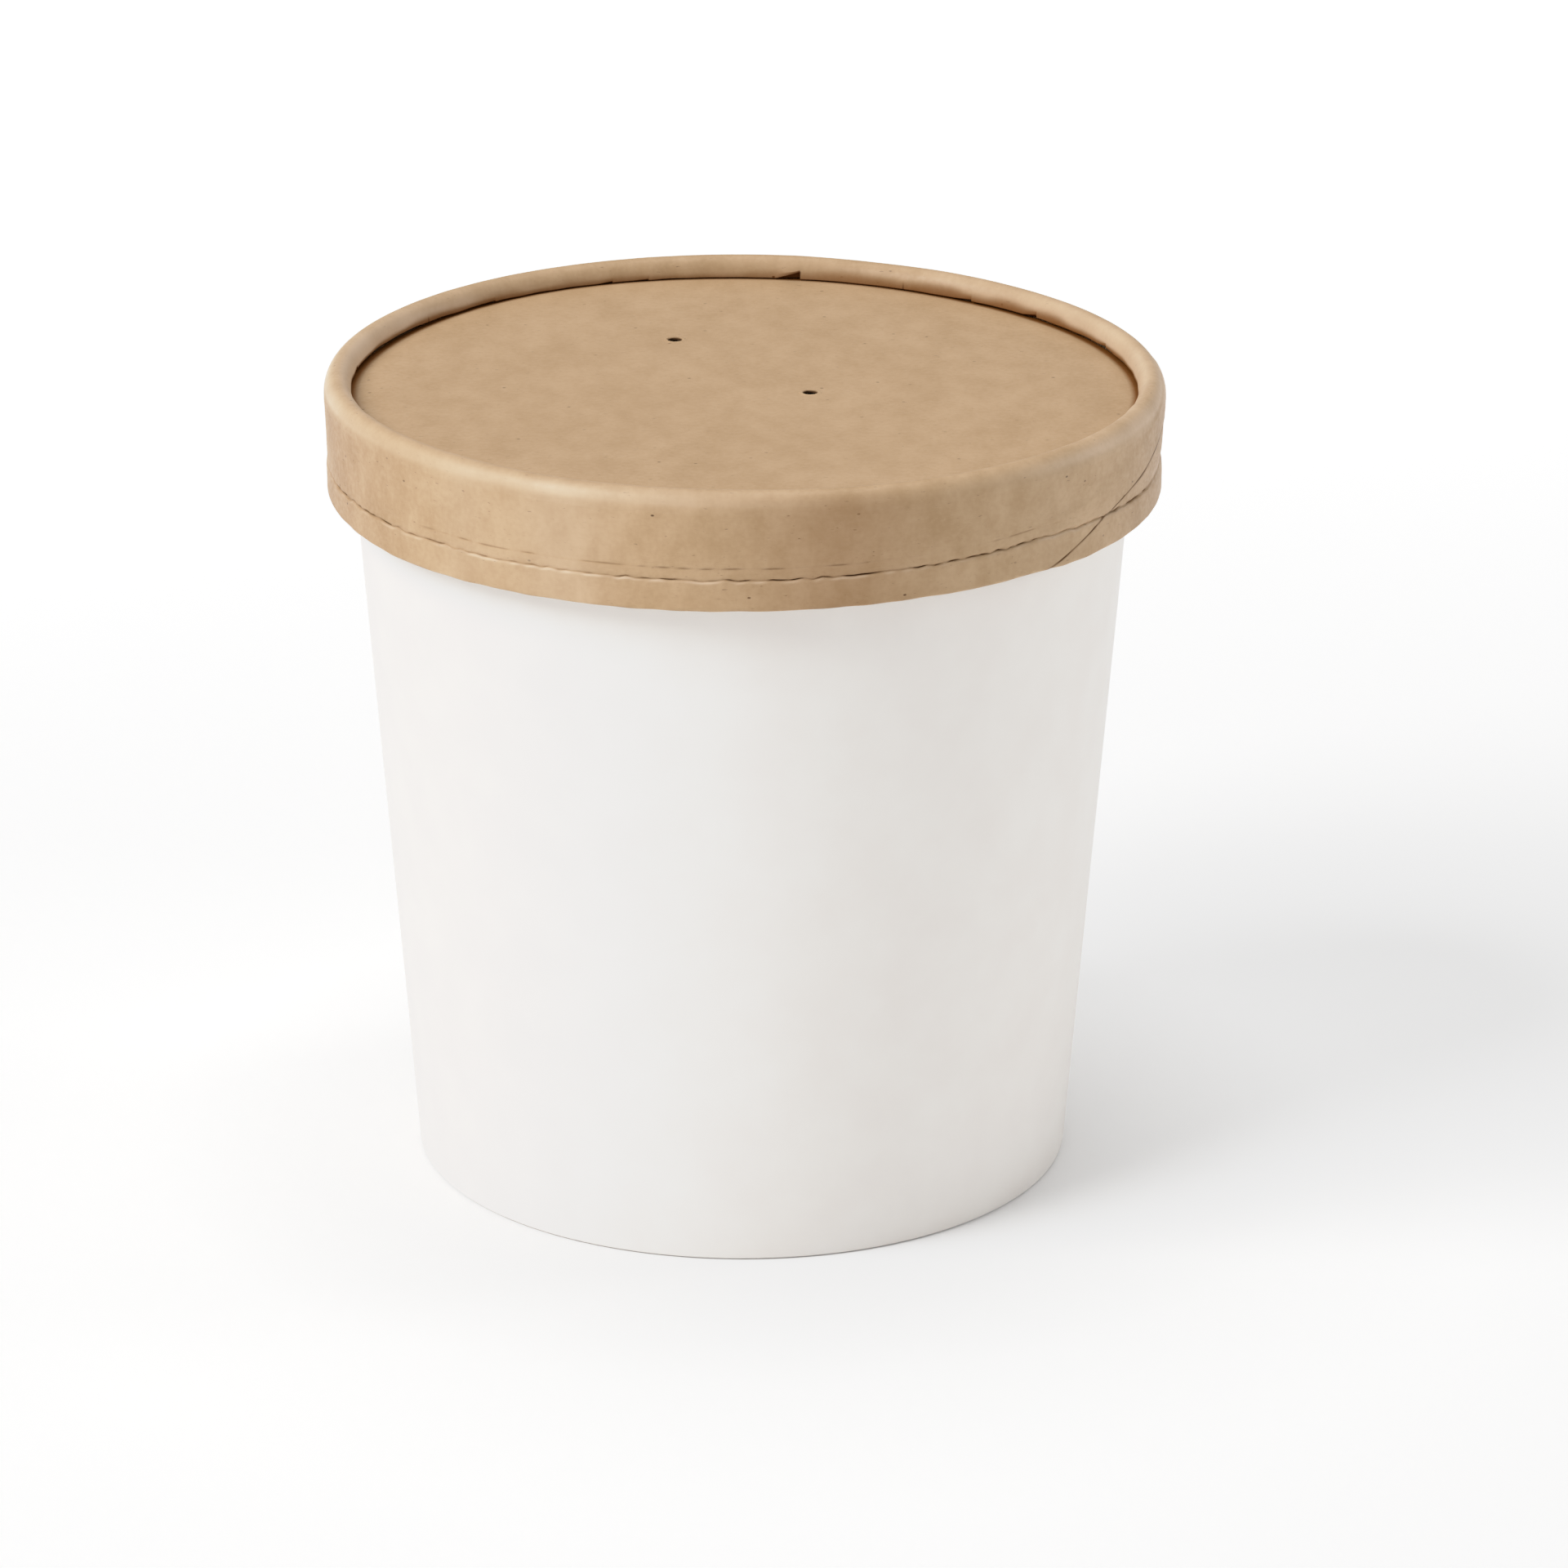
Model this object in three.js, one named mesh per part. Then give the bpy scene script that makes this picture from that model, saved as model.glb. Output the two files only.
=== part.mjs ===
// Paper soup cup, shut with its kraft lid: a tapered white cup, the lid's rolled band and the lid's disc.
// Millimetres, +Z up, with the front towards -Y. The origin is the middle of the foot, where the cup stands.
import * as THREE from "three";

// Driving sizes of the cup
const footRadius = 40.25;       // outside of the wall where it meets the table
const wallSpread = 0.0772;      // gain of radius for each millimetre of height
const footHem = 1.4;            // the wall is turned up inside around the base's skirt
const baseRecess = 7;           // the base panel sits this far above the table
const edgeRounding = 0.35;      // at the folded lower edge
const lipRoll = 1.6;            // radius of the rolled lip under the lid
const lipStart = -60;           // where the roll leaves the wall, in degrees from the outward direction

// Driving sizes of the lid
const overallHeight = 99.85;    // to the crest of the roll
const lidEdgeHeight = 85.75;    // lower edge of the band
const lidRadius = 50.7;         // at the widest place of the roll
const hemRadius = 50.5;         // outside of the folded hem
const hemHeight = 4.15;         // from the lower edge to the pressed groove
const hemThickness = 1.3;
const grooveDepth = 0.35;
const grooveHalfWidth = 0.4;
const bandThickness = 1.1;
const rollHalfWidth = 1.83;     // the roll that stands round the disc is an ellipse in section
const rollRise = 2.5;           // from the disc to the crest
const discThickness = 0.7;
const ventRadius = 0.85;
const vents = [[-8.6, 19.9], [7.9, -2.2]];

// Clearances between pieces that touch
const seatGap = 0.1;            // flat faces that lie on each other
const sideGap = 0.3;            // round faces, which are faceted

const roundSegments = 96;
const ventSegments = 16;
const arcStep = 15;             // degrees between points of a rounded section

// Levels and radii that follow from the driving sizes
const rollMiddle = overallHeight - rollRise;
const discTop = rollMiddle - seatGap;
const cupTop = discTop - discThickness - seatGap;
const bandInside = lidRadius - bandThickness;
const discRadius = bandInside - sideGap;
const grooveHeight = lidEdgeHeight + hemHeight;
const wallRadiusAt = (height) => footRadius + wallSpread * height;

const whitePaper = new THREE.MeshStandardMaterial({ color: 0xf1edea, roughness: 0.55, metalness: 0 });
const kraftBand = new THREE.MeshStandardMaterial({ color: 0xc8a77d, roughness: 0.85, metalness: 0 });
const kraftDisc = new THREE.MeshStandardMaterial({ color: 0xc4a580, roughness: 0.85, metalness: 0 });

// Points of an elliptical arc in a section, from one angle to another, in degrees from the outward direction.
function sectionArc(middleRadius, middleHeight, halfWidth, halfHeight, from, to) {
  const steps = Math.round(Math.abs(to - from) / arcStep);
  return Array.from({ length: steps + 1 }, (_, step) => {
    const angle = THREE.MathUtils.degToRad(from + ((to - from) * step) / steps);
    return [middleRadius + halfWidth * Math.cos(angle), middleHeight + halfHeight * Math.sin(angle)];
  });
}

// A piece turned round the upright axis from its section, given as [radius, height] pairs.
function turnedPiece(name, section, material) {
  const points = section.map(([radius, height]) => new THREE.Vector2(radius, height));
  const geometry = new THREE.LatheGeometry(points, roundSegments);
  geometry.rotateX(Math.PI / 2);
  const piece = new THREE.Mesh(geometry, material);
  piece.name = name;
  return piece;
}

// The cup is shut, so it is one solid: a base panel inside its foot, a tapered wall, and a rolled lip on top.
function makeCup() {
  const footInside = footRadius - footHem;
  const panelRadius = wallRadiusAt(baseRecess) - footHem;
  const lipMiddleRadius = bandInside - 2 * sideGap - lipRoll;
  const lipMiddleHeight = cupTop - lipRoll;
  const wallTop = lipMiddleHeight - lipRoll;
  return turnedPiece("cup", [
    [0, baseRecess],
    [panelRadius, baseRecess],
    [footInside, edgeRounding],
    [footInside + edgeRounding, 0],
    [footRadius - edgeRounding, 0],
    [wallRadiusAt(edgeRounding), edgeRounding],
    [wallRadiusAt(wallTop), wallTop],
    ...sectionArc(lipMiddleRadius, lipMiddleHeight, lipRoll, lipRoll, lipStart, 90),
    [0, cupTop],
  ], whitePaper);
}

// The band is a closed section: a folded hem, a pressed groove, an upright skirt, and a roll over the disc.
function makeLidBand() {
  const hemMiddle = hemRadius - hemThickness / 2;
  const hemInside = hemRadius - hemThickness;
  const section = [
    ...sectionArc(hemMiddle, lidEdgeHeight + edgeRounding, hemThickness / 2, edgeRounding, -180, 0),
    [hemRadius, grooveHeight - grooveHalfWidth],
    [hemRadius - grooveDepth, grooveHeight],
    [hemRadius, grooveHeight + grooveHalfWidth],
    ...sectionArc(lidRadius - rollHalfWidth, rollMiddle, rollHalfWidth, rollRise, 0, 180),
    [bandInside, rollMiddle],
    [bandInside, grooveHeight + grooveHalfWidth],
    [hemInside, grooveHeight - grooveHalfWidth],
  ];
  return turnedPiece("lid_band", [...section, section[0]], kraftBand);
}

// The disc is a flat board with two steam vents, held under the roll and resting on the cup's lip.
function makeLidDisc() {
  const outline = new THREE.Shape().absarc(0, 0, discRadius, 0, 2 * Math.PI);
  for (const [x, y] of vents) {
    const rim = new THREE.EllipseCurve(x, y, ventRadius, ventRadius, 0, 2 * Math.PI, true);
    outline.holes.push(new THREE.Path(rim.getPoints(ventSegments)));
  }
  const board = { depth: discThickness, bevelEnabled: false, curveSegments: roundSegments / 2 };
  const disc = new THREE.Mesh(new THREE.ExtrudeGeometry(outline, board), kraftDisc);
  disc.name = "lid_disc";
  disc.position.z = discTop - discThickness;
  return disc;
}

const soupCup = new THREE.Group();
soupCup.add(makeCup(), makeLidBand(), makeLidDisc());

export default soupCup;
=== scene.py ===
import bpy
import numpy as np
from mathutils import Matrix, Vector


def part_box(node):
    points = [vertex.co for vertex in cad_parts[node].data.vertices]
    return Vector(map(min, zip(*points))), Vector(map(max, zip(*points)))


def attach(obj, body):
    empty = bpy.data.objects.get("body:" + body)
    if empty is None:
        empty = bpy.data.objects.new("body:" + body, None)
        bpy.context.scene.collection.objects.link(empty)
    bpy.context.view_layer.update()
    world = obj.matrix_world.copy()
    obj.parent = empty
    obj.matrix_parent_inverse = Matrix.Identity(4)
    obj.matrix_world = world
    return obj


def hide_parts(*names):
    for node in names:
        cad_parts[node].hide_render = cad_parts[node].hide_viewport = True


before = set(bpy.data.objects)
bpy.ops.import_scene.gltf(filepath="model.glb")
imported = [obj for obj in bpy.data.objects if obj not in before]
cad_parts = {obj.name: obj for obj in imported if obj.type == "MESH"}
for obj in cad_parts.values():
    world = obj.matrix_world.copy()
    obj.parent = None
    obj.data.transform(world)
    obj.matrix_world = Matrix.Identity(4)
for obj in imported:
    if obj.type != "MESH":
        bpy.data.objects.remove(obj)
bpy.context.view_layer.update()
mm = 0.001
print("frame loaded:", sorted(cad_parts))


# 0 below low, 1 above high, and 3t^2 - 2t^3 between
def smoothStep(low, high, value):
    t = np.clip((value - low) / (high - low), 0, 1)
    return t * t * (3 - 2 * t)


# A bell: e to the power of minus ((value - middle) / width) squared
def bell(value, width, middle=0):
    return np.exp(-((value - middle) / width) ** 2)


# An angle brought into the half turn on either side of zero
def halfTurn(angle):
    return (angle + np.pi) % (2 * np.pi) - np.pi


# Uneven round the axis: the sum of cosines of whole orders with seeded phases, over the root of their
# number, times a size
def unevenRound(angle, orders, seed, size=1):
    phases = np.random.default_rng(seed).uniform(0, 2 * np.pi, len(orders))
    waves = sum(np.cos(order * angle + phase) for order, phase in zip(orders, phases))
    return waves / np.sqrt(len(orders)) * size


# Patches round the axis that come and go: from least to most as the uneven sum goes from low to high
def patches(angle, orders, seed, low, high, least, most):
    return least + (most - least) * smoothStep(low, high, unevenRound(angle, orders, seed))


# Swellings round the axis: the sum of bells, each given by its angle and spread in degrees and its height
def spreadRound(angle, swellings):
    away = lambda at: np.degrees(halfTurn(angle - np.radians(at)))
    return sum(bell(away(at), spread) * high for at, spread, high in swellings)


# Points of an elliptical arc in a section: middle + half sizes times the angle's cosine and sine
def arcRun(middle, half, start, end, count):
    angle = np.radians(np.linspace(start, end, count))
    return np.stack([middle[0] + half[0] * np.cos(angle), middle[1] + half[1] * np.sin(angle)], -1)


# Points of a straight run in a section, evenly spaced
def straightRun(start, end, count):
    return np.linspace(start, end, count)


# Outward unit normals of a section: its tangent turned a quarter turn, (dr, dz) to (dz, -dr)
def sectionNormals(section):
    tangent = np.gradient(section, axis=0)
    normal = np.stack([tangent[:, 1], -tangent[:, 0]], -1)
    return normal / np.linalg.norm(normal, axis=1, keepdims=True)


# Length along a section up to each of its points
def sectionLength(section):
    steps = np.linalg.norm(np.diff(section, axis=0), axis=1)
    return np.concatenate([[0], np.cumsum(steps)])


# The runs of a section joined to one array, with the name of the run that each point belongs to
def joinRuns(runs):
    return np.vstack(list(runs.values())), np.repeat(list(runs), [len(run) for run in runs.values()])


# Radius, angle and height to x, y and z, with angle 0 at the front (-Y) and a quarter turn at the right (+X)
def roundPoints(radius, angle, height):
    return np.stack([radius * np.sin(angle), -radius * np.cos(angle), height + 0 * angle], -1)


# columns beside a cut edge, and the last one's distance from a full turn
edgeColumns = {"beside": np.array([0.06, 0.12, 0.2, 0.3, 0.6]) * mm, "last": 0.02 * mm}


# Columns round the axis for a strip glued to itself: evenly spaced, close beside the cut edge, and others.
# The last one is a hair before the full turn, so that the step back to the first is the cut edge itself.
# Reach is the turn for each length across the edge.
def lappedColumns(count, reach, others=()):
    near = np.append(0, edgeColumns["beside"]) * reach
    far = 2 * np.pi - np.append(edgeColumns["beside"][::-1], edgeColumns["last"]) * reach
    return np.unique(np.concatenate([near, np.linspace(near[-1], far[0], count)[1:-1], far, others]))


# Rise of the outer ply, by the length past its cut edge: full for the overlap before the edge, sloping
# away before that, and a narrow slit just past the edge
def lapRise(past, lap):
    ply = lap["thickness"] * (1 - smoothStep(lap["overlap"], lap["overlap"] + lap["slope"], -past))
    slit = lap["slit"] * (1 - smoothStep(lap["open"], 2 * lap["open"], past))
    return np.where(past < 0, ply, -slit)


# Share of the dark line along a cut edge, by the length past it: full from before to after,
# softened by half as much again
def edgeLine(past, before, after):
    return smoothStep(-1.5 * before, -before, past) * (1 - smoothStep(after, 1.5 * after, past))


# For a solid between two heights: its largest radius, the height where that is, and its smallest radius
def ringAt(name, low, high):
    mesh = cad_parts[name].data
    flat = np.empty(len(mesh.vertices) * 3, np.float32)
    mesh.vertices.foreach_get("co", flat)
    points = flat.reshape(-1, 3)
    inside = points[(points[:, 2] > low) & (points[:, 2] < high)]
    away = np.hypot(inside[:, 0], inside[:, 1])
    return float(away.max()), float(inside[away.argmax(), 2]), float(away.min())


# Gives every point of a mesh a named value
def addMark(mesh, name, values):
    mark = mesh.attributes.new(name, "FLOAT", "POINT")
    mark.data.foreach_set("value", values.astype(np.float32).ravel())


# Puts a mesh, a light or a camera into the scene
def addObject(name, data):
    thing = bpy.data.objects.new(name, data)
    bpy.context.scene.collection.objects.link(thing)
    return thing


foldAngle = np.radians(40)  # folds sharper than this stay crisp


# Puts points, faces, corner coordinates and point values into a mesh object, shaded smooth except at folds
def addPiece(name, points, faces, uv, crease):
    mesh = bpy.data.meshes.new(name)
    mesh.from_pydata(points.tolist(), [], faces)
    layer = mesh.uv_layers.new(name="strip")
    layer.data.foreach_set("uv", uv.astype(np.float32).ravel())
    addMark(mesh, "crease", crease)
    mesh.polygons.foreach_set("use_smooth", np.ones(len(mesh.polygons), bool))
    mesh.set_sharp_from_angle(angle=foldAngle)
    mesh.update()
    print(f"{name}: {len(mesh.vertices)} points, {len(mesh.polygons)} faces")
    return addObject(name, mesh)


# The four corners of every cell of a grid, by row and column: first, next column, next of both, next row
def cellCorners(grid):
    cells = [grid[:-1, :-1], grid[:-1, 1:], grid[1:, 1:], grid[1:, :-1]]
    return np.stack(cells, 2).reshape((-1, 4) + grid.shape[2:])


# A section carried round the axis. The points are rows along the section by columns round it, closed round
# the columns, and closed along the section (a ring) or at two points on the axis (a body).
# Its map is length round by length along.
def carriedPiece(name, points, angle, length, radius, crease, ring):
    rows, columns = points.shape[:2]
    index = np.arange(rows * columns).reshape(rows, columns)
    index = np.hstack([index, index[:, :1]])
    along = np.hstack([angle, angle[:, :1] + 2 * np.pi]) * radius
    if ring:
        index = np.vstack([index, index[:1]])
        along = np.vstack([along, along[:1]])
        length = np.append(length, length[-1] + np.linalg.norm(points[0, 0] - points[-1, 0]))
    uv = np.stack([along, np.broadcast_to(length[:, None], along.shape)], -1)
    faces, corners = cellCorners(index).tolist(), cellCorners(uv).reshape(-1, 2)
    flat, marks = points.reshape(-1, 3), crease.ravel()
    if not ring:
        flat = np.vstack([flat, points[0].mean(0), points[-1].mean(0)])
        marks = np.append(marks, [crease[0].mean(), crease[-1].mean()])
        firstPole, lastPole = np.full(columns, rows * columns), np.full(columns, rows * columns + 1)
        faces += np.stack([firstPole, index[0, 1:], index[0, :-1]], -1).tolist()
        faces += np.stack([index[-1, :-1], index[-1, 1:], lastPole], -1).tolist()
        middle = (uv[:, 1:] + uv[:, :-1]) / 2
        fans = [(middle[0], uv[0, 1:], uv[0, :-1]), (uv[-1, :-1], uv[-1, 1:], middle[-1])]
        corners = np.vstack([corners] + [np.stack(fan, 1).reshape(-1, 2) for fan in fans])
    return addPiece(name, flat, faces, corners, marks)


# What the frame gives for the pieces
levelReach = 1 * mm  # how far from a level its ring of points is looked for
wallEnd = (20 * mm, 3.1 * mm)  # below the cup's top: where the wall's upper end is looked for
rollDepth = 4 * mm  # below the crest: where the roll's inner edge is looked for
lidLow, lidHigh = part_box("lid_band")
discLow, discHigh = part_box("lid_disc")
lidRadius, lidEdge, crest = lidHigh.x, lidLow.z, lidHigh.z
discTop, discThickness = discHigh.z, discHigh.z - discLow.z
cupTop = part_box("cup")[1].z
footRadius, footHeight, _ = ringAt("cup", -levelReach, levelReach)
wallTopRadius, wallTop, _ = ringAt("cup", cupTop - wallEnd[0], cupTop - wallEnd[1])
hemRadius = ringAt("lid_band", lidEdge - levelReach, lidEdge + levelReach)[0]
rollInside = ringAt("lid_band", crest - rollDepth, crest + levelReach)[2]

cupSizes = {
    "columns": 420,
    "rows": {"panel": 26, "turn": 8, "crimp": 16, "foot": 15, "wall": 70, "lip": 18, "inside": 4, "top": 8},
    "recess": 7 * mm,  # base panel above the table
    "hem": 1.4 * mm,  # folded wall and base skirt at the foot
    "rounding": 0.35 * mm,
    "lipRoll": 1.5 * mm,
    "lipStart": -60,  # where the roll leaves the wall, in degrees
    "lipClear": 0.8 * mm,  # under the disc
    "shoulder": 1.3,  # rolls below the lip's middle, where the wall ends
    "topSink": 4 * mm,  # the hidden top lies this far below the lip
    "pole": 0.4 * mm,  # radius of the smallest ring, round the axis
    "dome": 0.5 * mm,  # the base panel bows up a little in the middle
    "sag": ([2, 3, 5], 9, 0.12 * mm),  # and isn't quite flat: orders, seed and size
    "panelTurn": 0.6 * mm,  # where the panel is turned down into its skirt
    "turnGrey": 0.7,
    "seamAngle": np.radians(205),  # the wall's glued seam is at the back
    "lap": {"thickness": 0.24 * mm, "overlap": 6.5 * mm, "slope": 2.5 * mm, "slit": 0.03 * mm,
            "open": 0.15 * mm},
    "seamLine": (0.03 * mm, 0.16 * mm),  # grey to either side of the cut edge
    "crimp": 0.05 * mm,  # ribs pressed into the foot hem from inside
    "crimpCount": 84,
    "waver": (range(2, 7), 3, 0.05 * mm),  # the wall isn't perfectly round: orders, seed and size
    "waverTwist": 250 * mm,  # height for one radian of turn
    "waverHeights": (0.3, 0.75, 0.95),  # shares of the wall: full between the first two, gone at the last
}


# The cup: base panel, foot hem, tapered wall, rolled lip and sunk top, from the axis out and back to it.
# The wall's radius is the foot's plus spread times height. Straight runs keep clear of the arcs beside them.
def makeCup(sizes):
    spread = (wallTopRadius - footRadius) / (wallTop - footHeight)
    wallAt = lambda height: footRadius + spread * (height - footHeight)
    rounding, hem, recess, pole = (sizes[key] for key in ("rounding", "hem", "recess", "pole"))
    turn, roll, rows = sizes["panelTurn"], sizes["lipRoll"], sizes["rows"]
    panelEdge, footInside = wallAt(recess) - hem, wallAt(0) - hem
    lipMiddle = (wallTopRadius, discLow.z - sizes["lipClear"] - roll)
    shoulder = lipMiddle[1] - sizes["shoulder"] * roll
    lipInside, top = lipMiddle[0] - roll, lipMiddle[1] + roll - sizes["topSink"]
    wallLow, wallHigh = (wallAt(2 * rounding), 2 * rounding), (wallAt(shoulder), shoulder)
    lipEnd, topEdge = (lipInside, lipMiddle[1] - roll / 2), (lipInside, top + rounding)
    section, names = joinRuns({
        "panel": straightRun((pole, recess + sizes["dome"]), (panelEdge - 2 * turn, recess), rows["panel"]),
        "turn": arcRun((panelEdge - turn, recess - turn), (turn, turn), 90, 0, rows["turn"]),
        "crimp": straightRun((panelEdge, recess - 1.5 * turn), (footInside, 2 * rounding), rows["crimp"]),
        "foot": arcRun((footInside + hem / 2, rounding), (hem / 2, rounding), 180, 360, rows["foot"]),
        "wall": straightRun(wallLow, wallHigh, rows["wall"]),
        "lip": arcRun(lipMiddle, (roll, roll), sizes["lipStart"], 180, rows["lip"]),
        "inside": straightRun(lipEnd, topEdge, rows["inside"]),
        "top": straightRun((lipInside - rounding, top), (pole, top), rows["top"]),
    })
    row = {name: (names == name)[:, None] for name in rows}
    inner, height = section[:, :1], section[:, 1:]
    outside = (row["foot"] | row["wall"]) * smoothStep(footInside + hem / 2, footRadius, inner)
    column = lappedColumns(sizes["columns"], 1 / footRadius)
    past = halfTurn(column)[None, :] * footRadius
    angle = sizes["seamAngle"] + column[None, :] + 0 * inner
    low, high, end = (share * wallTop for share in sizes["waverHeights"])
    free = smoothStep(0, low, height) * (1 - smoothStep(high, end, height))
    waver = unevenRound(angle + height / sizes["waverTwist"], *sizes["waver"]) * free * outside
    ribs = np.cos(sizes["crimpCount"] * angle) * sizes["crimp"] * row["crimp"]
    lap = outside * lapRise(past, sizes["lap"])
    sag = unevenRound(angle, *sizes["sag"]) * row["panel"] * inner / panelEdge
    points = roundPoints(inner + lap + waver + ribs, angle, height + sag)
    crease = outside * edgeLine(past, *sizes["seamLine"]) + sizes["turnGrey"] * row["turn"]
    return carriedPiece("paper_cup", points, angle, sectionLength(section), footRadius, crease, ring=False)


# How the lid sits: a hair to one side, a hair lower on the right, and bowed down a little at both sides
lidSeat = {
    "aside": 0.25 * mm, "lower": 0.05 * mm, "tilt": 0.14 * mm, "bow": 0.2 * mm,
    # where the disc's edge and the roll's inner end stray from level together: angle, spread and rise
    "warp": [(-147, 24, 0.22 * mm), (139, 22, -0.24 * mm)],
}


# Moves points of the lid to where it sits: aside along X, and down by lower + tilt * t + bow * t^2,
# with t = x / radius
def seatLid(points):
    points = points.copy()
    across = points[..., 0] / lidRadius
    points[..., 2] -= lidSeat["lower"] + lidSeat["tilt"] * across + lidSeat["bow"] * across ** 2
    points[..., 0] += lidSeat["aside"]
    return points


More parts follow.
